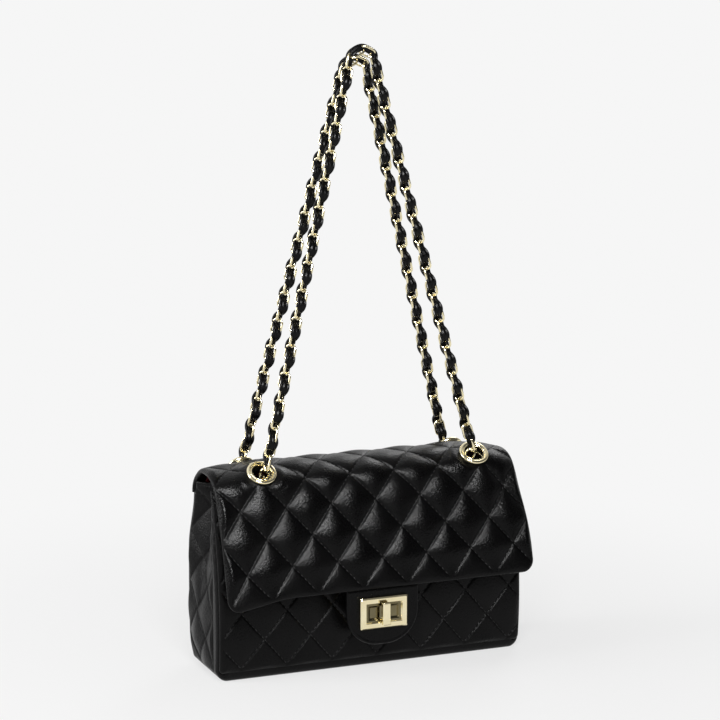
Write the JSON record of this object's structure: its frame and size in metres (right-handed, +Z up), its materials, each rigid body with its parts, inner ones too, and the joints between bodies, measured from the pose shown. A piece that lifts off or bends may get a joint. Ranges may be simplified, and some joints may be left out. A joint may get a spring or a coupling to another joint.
{
  "type": "chain shoulder bag",
  "caption": "Quilted leather shoulder bag with a turning flap, a quarter-turn lock and a doubled chain strap laced with leather, running through eyelets.",
  "frame": {"origin": "centre of the base's underside", "axes": "+X to the right seen from the front, the front faces -Y, +Z up"},
  "size_m": [0.252, 0.0945, 0.4809],
  "materials": {
    "leather": "smooth black leather with a soft sheen",
    "lining": "thin dark red lining leather",
    "gold": "polished pale gold plate",
    "board": "stiff board"
  },
  "bodies": {
    "bag_body": {"back_panel": "leather", "base_board": "board", "base_panel": "leather", "front_panel": "leather", "left_gusset": "leather", "lining_back": "lining", "lining_base": "lining", "lining_front": "lining", "lining_left": "lining", "lining_right": "lining", "lock_keeper": "gold", "right_gusset": "leather", "slip_pocket": "lining"},
    "flap": {"closure_tab": "leather", "eyelet_front_left": "gold", "eyelet_front_right": "gold", "eyelet_rear_left": "gold", "eyelet_rear_right": "gold", "flap": "leather", "flap_lining": "lining", "inner_chain_left": "gold", "inner_chain_right": "gold", "lock_back_plate": "gold", "lock_frame": "gold", "lock_plate": "gold", "washer_front_left": "gold", "washer_front_right": "gold", "washer_rear_left": "gold", "washer_rear_right": "gold"},
    "turn_bar": {"lock_foot": "gold", "lock_spindle": "gold", "turn_bar": "gold"},
    "front_strap": {"front_chain_left": "gold", "front_chain_right": "gold", "front_lace_left": "leather", "front_lace_right": "leather", "front_lace_top": "leather"},
    "rear_strap": {"rear_chain_left": "gold", "rear_chain_right": "gold", "rear_lace_left": "leather", "rear_lace_right": "leather", "rear_lace_top": "leather"}
  },
  "joints": [
    {"name": "flap_open", "type": "hinge", "parent": "bag_body", "child": "flap", "pos_m": [0, 0.02886, 0.1362], "axis": [-1, 0, 0], "range_deg": [0, 100]},
    {"name": "lock_turn", "type": "hinge", "parent": "flap", "child": "turn_bar", "pos_m": [0, -0.051, 0.049], "axis": [0, 1, 0], "range_deg": [0, 90]},
    {"name": "front_strap_swing", "type": "hinge", "parent": "flap", "child": "front_strap", "pos_m": [0, -0.02613, 0.16384], "axis": [1, 0, 0], "range_deg": [0, 90]},
    {"name": "rear_strap_swing", "type": "hinge", "parent": "flap", "child": "rear_strap", "pos_m": [0, 0.02972, 0.15549], "axis": [-1, 0, 0], "range_deg": [0, 75]}
  ]
}
